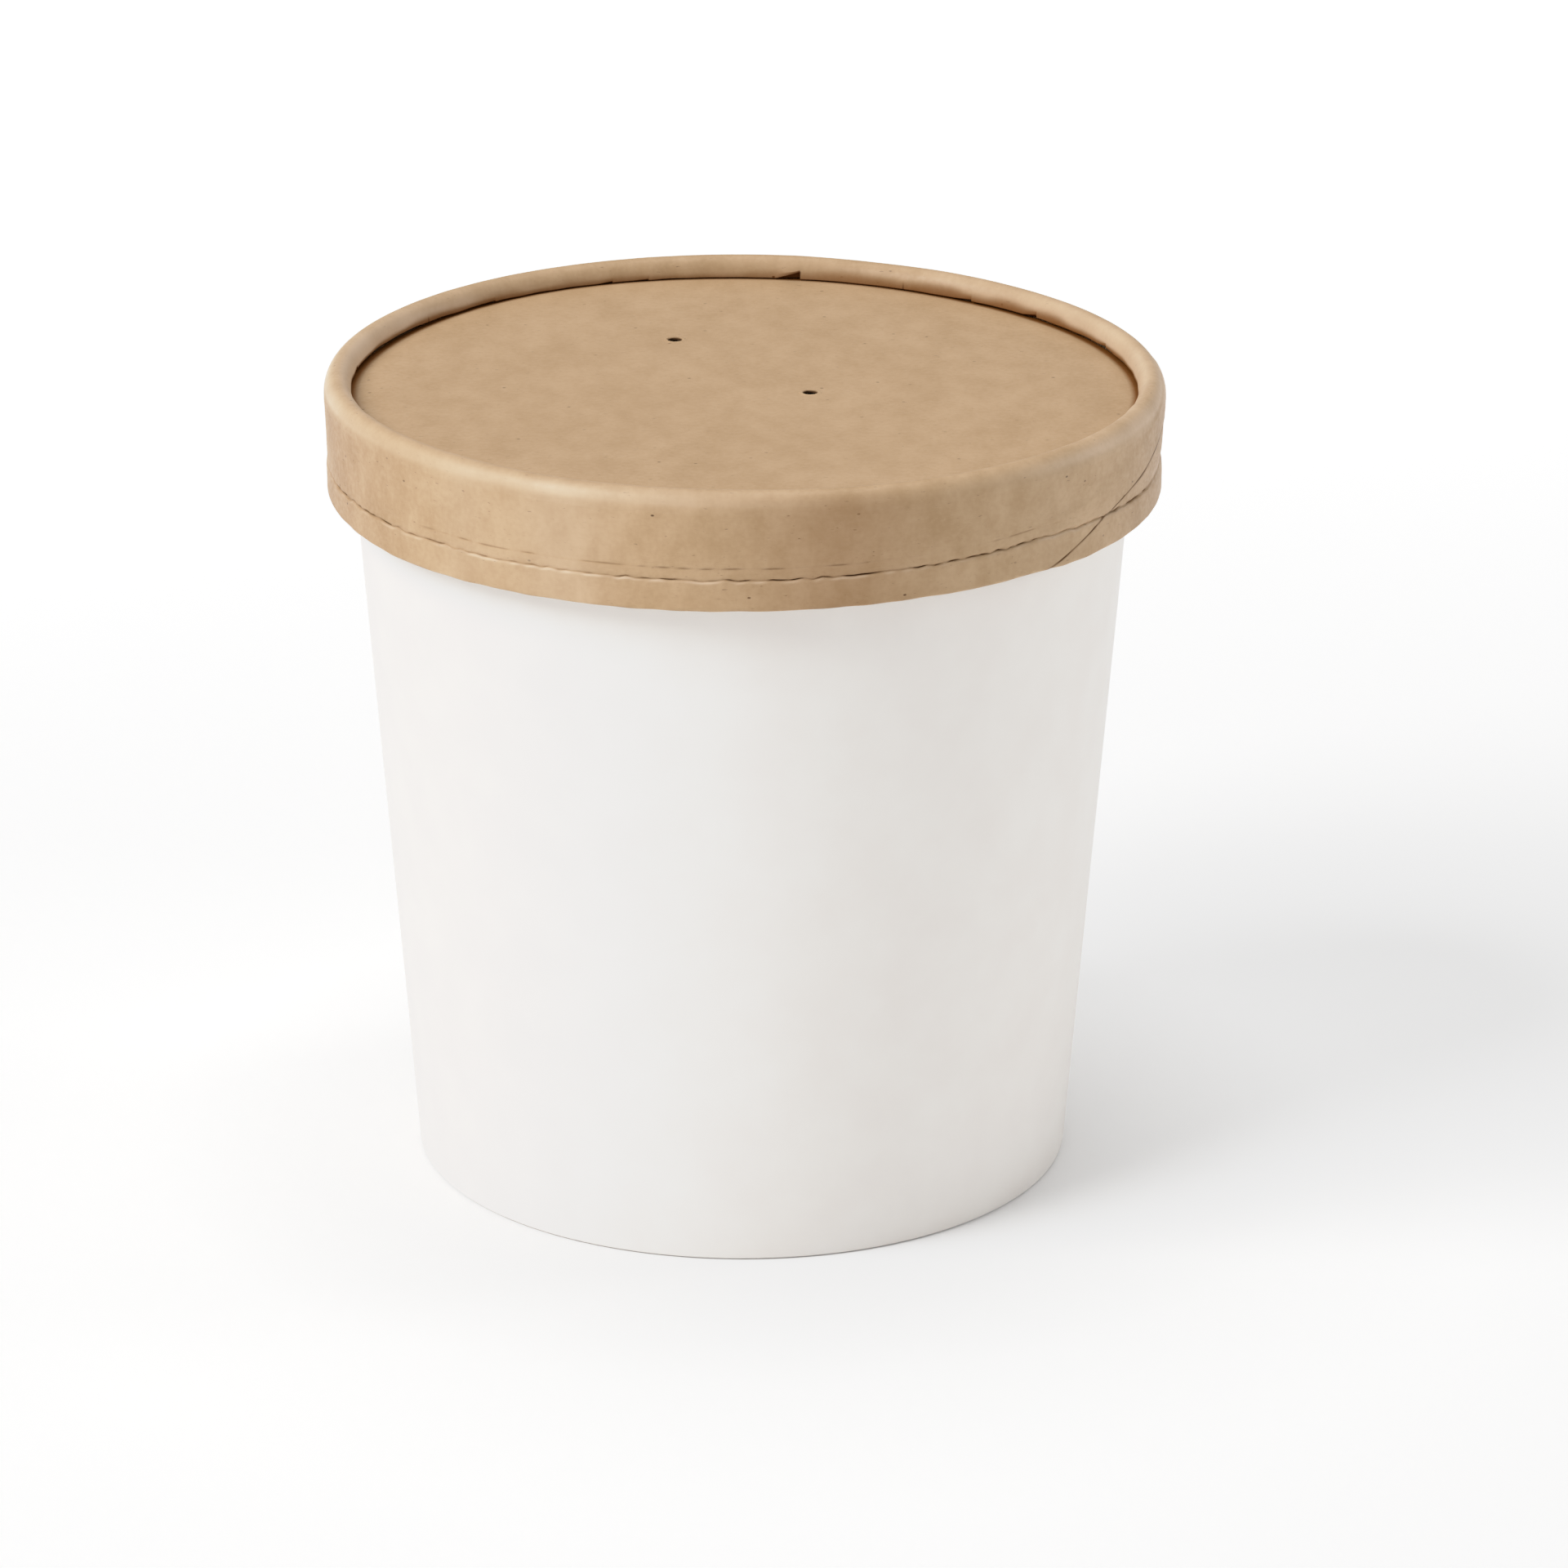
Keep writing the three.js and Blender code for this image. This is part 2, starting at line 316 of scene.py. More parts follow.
# Sizes of the band. Uneven lines are given by orders, seed and size, swellings by angle, spread and amount,
# and what comes and goes by orders, seed, the sum's low and high, and the least and the most that shows.
bandSizes = {
    "columns": 520,
    "rows": {"fold": 14, "hem": 9, "skirt": 18, "roll": 42, "tuck": 9, "under": 6, "inside": 8,
             "hemInside": 5},
    "hemThickness": 1.3 * mm,
    "rounding": 0.35 * mm,
    "grooveHeight": 3.8 * mm,  # from the lower edge to the top of the hem
    "hemLean": 0.03 * mm,  # the hem leans out a little towards its top
    "lipHeight": 0.9 * mm,  # of the hem's upper edge
    # the hem's upper edge: rise over it and step out in millimetres, and share of the crevice
    "lipEdge": [(-0.6, 0.04, 0), (-0.42, 0.05, 0), (-0.28, 0.04, 0), (-0.17, 0.01, 0), (-0.08, -0.04, 0),
                (-0.02, -0.1, 0.1), (0.02, -0.14, 0.7), (0.06, -0.14, 1), (0.11, -0.14, 1),
                (0.16, -0.13, 0.6), (0.22, -0.12, 0.1)],
    "lipBack": 0.14 * mm,  # where the crevice starts, behind the hem
    "slotDepth": 0.24 * mm,  # crevice between the hem and the skirt
    "skirtStep": 0.1 * mm,  # the skirt starts behind the hem
    # the score line: rise over the hem in millimetres and share of the depth
    "scoreCut": [(0.4, 0), (0.7, 0), (1, 0), (1.3, 0), (1.4, 0.3), (1.46, 0.8), (1.5, 1), (1.54, 0.8),
                 (1.6, 0.3), (1.7, 0)],
    "scoreRise": 1.5 * mm,  # the faint score line over the hem
    "scoreDepth": 0.05 * mm,
    "scoreWidth": 0.1 * mm,
    "skirtEnds": (0.5 * mm, 0.2 * mm),  # clear of the score line and of the roll
    "waist": 0.2 * mm,  # the skirt draws in over the hem at the right
    "waistHeight": (1.1 * mm, 0.3 * mm),  # how far up and down, and its middle over the hem
    "waistAngle": (36, 92),  # spread and middle, in degrees
    "rollLift": 0.2 * mm,  # the roll is widest this far over the disc
    "tuckHalf": (0.45 * mm, 0.16 * mm),  # and turns under itself below that
    "tuckArc": (188, 270),  # degrees
    "underStart": 1.7,  # half widths of the turn from its edge
    "wall": 1.1 * mm,
    "insideEnds": (0.4 * mm, 0.6 * mm),  # clear of the roll and of the hem
    # how far the hem's upper and lower edges stray from level, in millimetres by degrees
    "hemDegrees": [-180, -95, -75, -55, -28, -8, 5, 20, 32, 42, 48, 60, 70, 90, 180],
    "hemUpper": [0, -0.48, -0.5, -0.53, -0.38, -0.2, -0.12, 0.15, 0.45, 0.72, 0.74, 0.45, 0.13, 0.15, 0],
    "hemLower": [0, -0.1, -0.22, -0.42, -0.35, -0.2, -0.07, 0.12, 0.31, 0.6, 0.22, 0.2, 0.2, 0.2, 0],
    "strayEnd": (1.1 * mm, 4.5 * mm),  # over the hem, where the skirt comes level again
    "hemWaver": (range(5, 40, 4), 21, 0.05 * mm),
    "crackle": (range(50, 170, 7), 24, 0.07 * mm),  # the crevice is jagged
    "ragged": ([3, 4, 5, 7, 9, 11, 31, 43, 57, 70], 31, 0.05 * mm),  # uneven lower edge
    "raggedReach": 2 * mm,
    "ripple": (range(20, 90, 7), 61, 0.015 * mm),  # the skirt isn't perfectly round
    "rippleTwist": 20,  # turn for each metre of height
    "crestWave": (range(2, 10), 11, 0.05 * mm),
    "wrinkle": (range(14, 70, 3), 12, 0.04 * mm),  # small folds of the roll towards the disc
    "slim": 0.4 * mm,  # the roll is narrower at both sides
    "sag": [(135, 25, -0.17 * mm), (160, 9, -0.12 * mm)],  # the crest is lower there
    "seamStart": np.radians(44),  # where the slanted seam meets the lower edge
    "seamSlant": (np.radians(3.3) / mm, np.radians(4.45) / mm),  # turn by length, on the hem and the skirt
    "slantChange": (0.2 * mm, 2.2 * mm),  # over the hem, from the one to the other
    "seamFade": 3 * mm,  # over the roll the seam comes straight within this length
    "lapEnd": 0.3,  # share of the roll where the ply lies flat again
    "lap": {"thickness": 0.12 * mm, "overlap": 3.5 * mm, "slope": 1.5 * mm, "slit": 0.04 * mm,
            "open": 0.14 * mm},
    "seamLine": (0.08 * mm, 0.15 * mm),  # dark to either side of the cut edge
    "seamWiden": 0.8,  # the line grows wider by this share
    "widenAngles": (55, 70),  # from the first angle to the second, in degrees
    "seamDash": (range(30, 150, 7), 17, -0.5, 0.5, 0.6, 1),
    # where the roll's inner end lifts off the disc: degrees, then reach to the side and lift in millimetres
    "notches": [(171.4, 3, 0.95), (142.8, 2.6, 0.22), (129.7, 2.4, 0.36), (110.6, 2, 0.2), (195, 2, 0.15),
                (200.8, 1.8, 0.18), (221.5, 3, 0.15), (262, 2.4, 0.22), (300, 2.2, 0.3), (335, 2, 0.25),
                (20, 2.5, 0.3), (61, 2, 0.25)],
    "gap": [(102, 30, 0.09 * mm), (-103, 25, 0.12 * mm), (180, 45, -0.06 * mm)],  # wider gaps over the disc
    "liftReach": (0.1 * mm, 0.9 * mm),  # a lift is full up to the first height and gone at the second
    "cracks": [154.8, 236, 281, 42, 84],  # hairline splits beside the disc, in degrees
    "crackWidth": 0.09 * mm,
    # columns beside each notch and crack
    "closeColumns": np.array([-0.5, -0.2, -0.1, -0.05, 0, 0.05, 0.1, 0.2, 0.5]) * mm,
    # how far the crevice, the score line and the painted highlight on the hem's edge show by degrees, and
    # how they are broken
    "slotAlong": ([-180, -100, -92, -76, -71, -59, -50, -20, -8, 5, 16, 24, 45, 66, 71, 75, 95, 105, 180],
                  [0.5, 0.5, 0.1, 0.08, 0.9, 0.85, 0.45, 0.35, 0.75, 0.8, 1, 0.9, 0.85, 0.7, 0.6, 0, 0, 0.5,
                   0.5]),
    "slotDash": (range(23, 180, 6), 5, -0.3, 0.6, 0.08, 1),
    "ledgeFrom": 0.3,  # share of the crevice that makes the hem's edge a full ledge
    "scoreAlong": ([-180, -50, -44, -10, 14, 18, 31, 34, 44, 48, 180],
                   [0.1, 0.1, 0.9, 1, 0.9, 0.1, 0.1, 0.7, 0.7, 0.1, 0.1]),
    "scoreDash": (range(13, 140, 6), 8, -0.4, 0.8, 0.1, 1),
    "highlightAlong": ([-180, -70, -45, -5, 20, 40, 180], [0.4, 0.5, 1, 1, 0.6, 0.4, 0.4]),
    "highlightDash": (range(15, 150, 7), 22, -0.6, 0.7, 0.15, 1),
    "highlightPlace": (0.14 * mm, -0.12 * mm),  # the painted highlight on the hem's top edge: how far up and down, and its middle under the hem's top
    "lowPlace": (0.2 * mm, 0.06 * mm),  # of the dark lower edge: the same, over the fold
    "lowDash": (range(11, 120, 6), 27, -0.6, 0.8, 0, 1),
    # by angle in degrees: how dark the painted shade at the roll's inner end is, and how far it reaches up
    # in millimetres
    "tuckAlong": ([-180, -150, -125, -75, -60, -30, 30, 60, 80, 125, 150, 180],
                  [0.45, 0.6, 0.9, 1, 0.5, 0.2, 0.2, 0.5, 1, 1, 0.9, 0.5]),
    "tuckReach": ([-180, -150, -125, -105, -75, -45, 45, 75, 100, 118, 165, 180],
                  [0.8, 1.3, 1.2, 0.7, 0.3, 0.4, 0.4, 0.3, 0.6, 1.4, 1.5, 0.9]),
    "reachPatch": (range(5, 40, 5), 14, -1.2, 1.2, 0.75, 1.25),
    # how pale the rest of the roll is painted: painted highlight towards its crest and painted light where
    # it lies in shade, most on its outer and inner faces
    "paintedLight": [(-125, 15, 0.15), (-92, 30, 0.8), (-25, 28, 0.4), (85, 38, 0.58), (130, 25, 0.25)],
    "paintedLightLeast": 0.05,
    "paintedLightPatch": (range(3, 30, 4), 19, -1, 1, 0.85, 1.15),
    "paintedLightStart": (-0.02, 0.06),  # shares of the roll, from its outside
    "paintedLightCrest": (0.6, (0.12, 0.4), (0.5, 0.8)),  # less by this share between the two slopes
    "paintedLightEnd": 0.9,  # share of the dark that leaves nothing pale
    # painted shade and painted light along the hem and the skirt: darker where the band lies in shade, paler
    # where it is lit
    "tone": [(-78, 18, 0.15), (-40, 5, -0.17), (-25, 7, -0.26), (12, 12, 0.2), (45, 5, -0.08),
             (80, 14, 0.12), (180, 90, 0.03)],
    "paintedShadeAndLightEnd": 0.35,  # gone at this share of the roll
    # how dark the painted shade in each line is: the crevice at least, the score line, the cracks, the
    # roll's inner end and the notches, and the darker lower edge; how pale the painted highlight on the
    # hem's edge is;
    # then how strong the painted warm shade is under the roll and where the band lies in shade
    "dark": {"slot": 0.15, "score": 0.55, "worn": 0.75, "crack": 0.8, "low": 0.35, "tuck": 0.4,
             "notch": 0.6},
    "warmShade": {"tuck": 0.6, "roll": 0.85, "tone": 1.4},
}


# Section of the band as runs of (radius, height): folded hem, its upper edge with the crevice, score line,
# skirt, roll, and the hidden inside
def bandRuns(sizes):
    groove = lidEdge + sizes["grooveHeight"]
    score = groove + sizes["scoreRise"]
    hem, rounding, tuck, rows = (sizes[key] for key in ("hemThickness", "rounding", "tuckHalf", "rows"))
    half = (lidRadius - rollInside) / 2
    rollMiddle = (lidRadius - half, discTop + sizes["rollLift"])
    skirtLow = hemRadius - sizes["skirtStep"]
    lean = (lidRadius - skirtLow) / (rollMiddle[1] - groove)
    skirtAt = lambda height: skirtLow + lean * (height - groove)
    lip = [(hemRadius + out * mm - slot * sizes["slotDepth"], groove + rise * mm)
           for rise, out, slot in sizes["lipEdge"]]
    line = [(skirtAt(groove + rise * mm) - deep * sizes["scoreDepth"], groove + rise * mm)
            for rise, deep in sizes["scoreCut"]]
    hemTop = (hemRadius + sizes["hemLean"], groove - sizes["lipHeight"])
    skirtFrom, skirtTo = score + sizes["skirtEnds"][0], rollMiddle[1] - sizes["skirtEnds"][1]
    inside, under = lidRadius - sizes["wall"], rollMiddle[1] - tuck[1]
    insideFrom, insideTo = under - sizes["insideEnds"][0], groove + sizes["insideEnds"][1]
    underFrom, foldMiddle = rollInside + sizes["underStart"] * tuck[0], hemRadius - hem / 2
    hemBack, hemLow = hemRadius - hem, lidEdge + 2 * rounding
    return {
        "fold": arcRun((foldMiddle, lidEdge + rounding), (hem / 2, rounding), 180, 360, rows["fold"]),
        "hem": straightRun((hemRadius, hemLow), hemTop, rows["hem"]),
        "lip": np.array(lip),
        "score": np.array(line),
        "skirt": straightRun((skirtAt(skirtFrom), skirtFrom), (lidRadius, skirtTo), rows["skirt"]),
        "roll": arcRun(rollMiddle, (half, crest - rollMiddle[1]), 0, 180, rows["roll"]),
        "tuck": arcRun((rollInside + tuck[0], rollMiddle[1]), tuck, *sizes["tuckArc"], rows["tuck"]),
        "under": straightRun((underFrom, under), (inside, under), rows["under"]),
        "inside": straightRun((inside, insideFrom), (inside, insideTo), rows["inside"]),
        "hemInside": straightRun((hemBack, groove), (hemBack, hemLow), rows["hemInside"]),
    }


# The turn of the slanted seam at each point of the section, and its slant: the slant times the length along
# the section, coming straight over the roll. The hidden rows carry it back to where it began.
def seamTurn(names, length, sizes):
    rollStart, skirtStart = length[names == "roll"][0], length[names == "score"][0]
    hemSlant, skirtSlant = sizes["seamSlant"]
    slant = hemSlant + (skirtSlant - hemSlant) * smoothStep(*sizes["slantChange"], length - skirtStart)
    slant = slant * (1 - smoothStep(rollStart, rollStart + sizes["seamFade"], length))
    seam = np.concatenate([[0], np.cumsum(slant[1:] * np.diff(length))])
    seam = sizes["seamStart"] + seam - seam[names == "hem"][0] + hemSlant * 2 * sizes["rounding"]
    hidden = np.flatnonzero(np.isin(names, ["under", "inside", "hemInside"]))
    seam[hidden] = np.linspace(seam[hidden[0] - 1], seam[0], len(hidden) + 2)[1:-1]
    return seam, slant


# Columns of the band: those of a lapped strip, and close ones at the angle of each notch and crack less
# the seam's
def bandColumns(sizes, seamAngle, reach):
    marked = np.radians([notch[0] for notch in sizes["notches"]] + sizes["cracks"])[:, None] - seamAngle
    marked = marked + sizes["closeColumns"] / rollInside
    return lappedColumns(sizes["columns"], reach, marked.ravel() % (2 * np.pi))


# Lift of the roll's inner end at its notches: the sum of wedges, each falling evenly from its lift to 0
def notchLift(angle, notches):
    lifted = np.zeros(angle.shape)
    for at, reach, lift in notches:
        aside = halfTurn(angle - np.radians(at)) * rollInside
        lifted += np.where(aside >= 0, np.maximum(1 - aside / (reach * mm), 0), 0) * (lift * mm)
    return lifted


# Along the hem's upper edge: share of the crevice, and how far out of an even slope each row lies
def lipRows(names, lip, sizes):
    slotRow, lipEven = np.zeros((len(names), 1)), np.zeros((len(names), 1))
    deep = (hemRadius - sizes["lipBack"] - lip) / sizes["slotDepth"]
    slotRow[names == "lip", 0] = np.clip(deep, 0, 1)
    lipEven[names == "lip", 0] = np.linspace(lip[0], lip[-1], len(lip)) - lip
    return slotRow, lipEven


# How pale the roll is painted with painted highlight and painted light: swellings round the axis times
# patches, less over the crest, none in the painted shade
def paintedLightShare(angle, rollShare, turned, sizes):
    paintedLight = sizes["paintedLightLeast"] + spreadRound(angle, sizes["paintedLight"])
    paintedLight = paintedLight * patches(angle, *sizes["paintedLightPatch"]) * smoothStep(*sizes["paintedLightStart"], rollShare)
    less, outerSlope, innerSlope = sizes["paintedLightCrest"]
    paintedLight = paintedLight * (1 - less * (smoothStep(*outerSlope, rollShare) - smoothStep(*innerSlope, rollShare)))
    return paintedLight * (1 - smoothStep(0, sizes["paintedLightEnd"], turned))


# The lid's band: its section carried round the axis along columns that follow the slanted seam
def makeLidBand(sizes):
    runs = bandRuns(sizes)
    section, names = joinRuns(runs)
    row = {name: (names == name)[:, None] for name in runs}
    inner, height = section[:, :1], section[:, 1:]
    normal, length = sectionNormals(section), sectionLength(section)
    rolled = row["roll"] | row["tuck"]
    skirted = row["hem"] | row["lip"] | row["score"] | row["skirt"]
    tucked = row["tuck"] | row["under"]
    seam, slant = seamTurn(names, length, sizes)
    reach = np.hypot(1, lidRadius * slant) / lidRadius
    column = bandColumns(sizes, seam[names == "tuck"][0], reach.max())
    past = halfTurn(column)[None, :] / reach[:, None]
    angle = seam[:, None] + column[None, :]
    degrees = np.degrees(halfTurn(angle))
    overHem = height - lidEdge - sizes["grooveHeight"]
    overDisc = height - discTop - sizes["rollLift"]
    inward = inner < (lidRadius + rollInside) / 2

    # what the sizes give round the axis
    wavy = lambda key: unevenRound(angle, *sizes[key])
    broken = lambda key: patches(angle, *sizes[key])
    swollen = lambda key: spreadRound(angle, sizes[key])
    byAngle = lambda key: np.interp(degrees, *sizes[key])

    # how far the crevice, the score line and the painted highlight on the hem's edge show, broken into
    # dashes
    along = byAngle("slotAlong")
    ledge = smoothStep(0, sizes["ledgeFrom"], along)
    opened = along * broken("slotDash")
    scored = byAngle("scoreAlong") * broken("scoreDash")
    worn = byAngle("highlightAlong") * broken("highlightDash")

    # shifts along the section's normal: lapped ply, uneven skirt and roll, and small folds towards the disc
    foldShare = smoothStep(hemRadius - sizes["hemThickness"] / 2, hemRadius, inner) * row["fold"]
    across = np.clip((lidRadius - inner) / (lidRadius - rollInside), 0, 1)
    rollShare = across * rolled
    lapped = (skirted + rolled + foldShare) * (1 - smoothStep(0, sizes["lapEnd"], rollShare))
    shift = lapped * lapRise(past, sizes["lap"])
    shift += unevenRound(angle + sizes["rippleTwist"] * height, *sizes["ripple"]) * row["skirt"]
    shift += wavy("crestWave") * rollShare
    shift += wavy("wrinkle") * rollShare ** 2

    # shifts of radius: the crevice and the score line where they are faint, the waist at the right,
    # and the narrower roll at both sides
    slotRow, lipEven = lipRows(names, runs["lip"][:, 0], sizes)
    scoreRow = bell(overHem, sizes["scoreWidth"], sizes["scoreRise"]) * row["score"]
    waist = bell(overHem, *sizes["waistHeight"]) * bell(degrees, *sizes["waistAngle"]) * sizes["waist"]
    outward = slotRow * (1 - opened) * sizes["slotDepth"] * ledge + lipEven * (1 - ledge)
    outward = outward + scoreRow * (1 - scored) * sizes["scoreDepth"] - skirted * waist
    outward += across * (rolled | row["under"]) * sizes["slim"] * np.sin(angle) ** 2

    # shifts of height: the straying hem, the uneven lower edge, the notches where the roll's inner end
    # lifts, and the crest where it is lower
    upper = np.interp(degrees, sizes["hemDegrees"], sizes["hemUpper"]) * mm
    upper += wavy("hemWaver")
    lower = np.interp(degrees, sizes["hemDegrees"], sizes["hemLower"]) * mm
    hemShare = np.clip(1 + overHem / sizes["grooveHeight"], 0, 1)
    rise = (lower + (upper - lower) * hemShare) * (1 - smoothStep(*sizes["strayEnd"], overHem))
    rise += wavy("crackle") * row["lip"]
    lowEdge = (1 - smoothStep(0, sizes["raggedReach"], height - lidEdge)) * (skirted | row["fold"])
    rise += wavy("ragged") * lowEdge
    towards = (1 - smoothStep(*sizes["liftReach"], overDisc)) * rolled * inward
    notched = notchLift(angle, sizes["notches"])
    rise += (notched + swollen("gap")) * towards
    rise += spreadRound(angle, lidSeat["warp"]) * (towards + row["under"])
    upRoll = np.clip(overDisc / (crest - discTop - sizes["rollLift"]), 0, 1) * rolled
    rise += swollen("sag") * upRoll
    radius = inner + normal[:, :1] * shift + outward
    points = roundPoints(radius, angle, height + normal[:, 1:] * shift + rise)

    # crease: painted shade in the crevice, the score line, the cracks, the notches and under the roll, a
    # dark line along the seam and the darker lower edge; painted highlight on the hem's edge, and painted
    # highlight and light on the roll
    weight, warmShade = sizes["dark"], sizes["warmShade"]
    highlightRow = bell(overHem, *sizes["highlightPlace"]) * row["lip"] * (1 - slotRow)
    lowLine = bell(height - lidEdge, *sizes["lowPlace"]) * foldShare * broken("lowDash")
    beside = halfTurn(angle[:, :, None] - np.radians(sizes["cracks"])) * rollInside
    crack = bell(beside, sizes["crackWidth"]).sum(-1) * towards
    wide = 1 + sizes["seamWiden"] * smoothStep(*sizes["widenAngles"], degrees)
    line = edgeLine(past / wide, *sizes["seamLine"]) * broken("seamDash") * lapped
    dark = byAngle("tuckAlong")
    crease = slotRow * ledge * (weight["slot"] + (1 - weight["slot"]) * opened) + line
    crease = crease + weight["score"] * scoreRow * scored - weight["worn"] * worn * highlightRow
    crease = crease + weight["crack"] * crack + weight["low"] * lowLine + weight["tuck"] * dark * tucked
    crease += weight["notch"] * notched / mm * towards ** 2
    reachUp = byAngle("tuckReach") * mm * broken("reachPatch")
    turned = (1 - smoothStep(0, 1, overDisc / reachUp)) * rolled * inward
    crease -= paintedLightShare(angle, rollShare, turned, sizes) * row["roll"]

    # shade: painted warm shade under the roll and where the band lies in shade; where it is lit, the painted
    # light goes into the crease
    shade = np.where(tucked, warmShade["tuck"] + (1 - warmShade["tuck"]) * dark, warmShade["roll"] * dark * turned)
    paintedShadeAndLightRows = np.maximum(skirted, foldShare) + row["roll"] * (1 - smoothStep(0, sizes["paintedShadeAndLightEnd"], rollShare))
    tone = swollen("tone") * paintedShadeAndLightRows
    shade += warmShade["tone"] * np.maximum(tone, 0)
    crease = np.clip(crease + np.minimum(tone, 0), -1, 1)
    piece = carriedPiece("kraft_band", seatLid(points), angle, length, lidRadius, crease, ring=True)
    addMark(piece.data, "shade", shade)
    return piece


discSizes = {
    "columns": 240,
    "rows": 64,
    "innerRadius": 0.6 * mm,
    "edgeGap": 1.6 * mm,  # clear of the inside of the band
    "sink": 0.06 * mm,  # below the solid's upper face
    "dip": 0.03 * mm,  # the board is pressed down under the roll
    "sideDip": [(104, 34, 0.24 * mm), (-103, 28, 0.28 * mm)],  # and more at both sides
    "dipReach": (-1.6 * mm, 0.3 * mm),  # from the roll's inner edge
    "darkEdge": (-0.2 * mm, 0.3 * mm),  # where it turns dark with painted shade under the roll, in the same way
    "waver": ([2, 3, 4], 41, 0.07 * mm),  # orders, seed and size
    "swell": (0.05 * mm, 17 * mm, 13 * mm),  # size, and length for each radian along X and Y
    "waverEnd": (0.8, 0.97),  # shares of the roll's inner radius
    "warpFrom": 0.5,  # the warp grows from here, in the same way
    "vents": [(-8.6 * mm, 19.9 * mm), (7.9 * mm, -2.2 * mm)],
    "ventRadius": 0.85 * mm,
    "ventWindow": 2.4 * mm,  # half size of the patch of the sheet round each vent
    "ventRings": 9,
    "ringBunch": 0.6,  # power that draws the rings towards the vent
    "burr": 0.11 * mm,  # raised lip left by the punch
    "burrPlace": (0.2 * mm, 0.22 * mm),  # how far to either side, and its middle from the vent's edge
    "burrFall": (0.6, 0.1 * mm),  # share that falls away at the edge, and how far
    "ventThin": 0.7,  # share of the board's thickness that is pressed away at a vent
    "ventReach": 1.3 * mm,
    "ventDark": (0.8, 1),  # painted shade in each vent, at the upper and the lower edge
}


# Height of the disc's upper face: flat, a little wavy, pressed down under the roll, with a burr at each vent
def discHeight(x, y, sizes):
    radius = np.hypot(x, y)
    angle = np.arctan2(x, -y)
    swell, swellX, swellY = sizes["swell"]
    wave = unevenRound(angle, *sizes["waver"]) * (radius / lidRadius) ** 2
    wave = wave + swell * np.sin(x / swellX) * np.cos(y / swellY)
    height = discTop - sizes["sink"] + wave * (1 - smoothStep(*sizes["waverEnd"], radius / rollInside))
    height += spreadRound(angle, lidSeat["warp"]) * smoothStep(sizes["warpFrom"], 1, radius / rollInside)
    dip = sizes["dip"] + spreadRound(angle, sizes["sideDip"])
    height -= dip * smoothStep(*sizes["dipReach"], radius - rollInside)
    fall, fallWidth = sizes["burrFall"]
    for centre in sizes["vents"]:
        away = np.hypot(x - centre[0], y - centre[1]) - sizes["ventRadius"]
        height += sizes["burr"] * (bell(away, *sizes["burrPlace"]) - fall * bell(away, fallWidth))
    return height


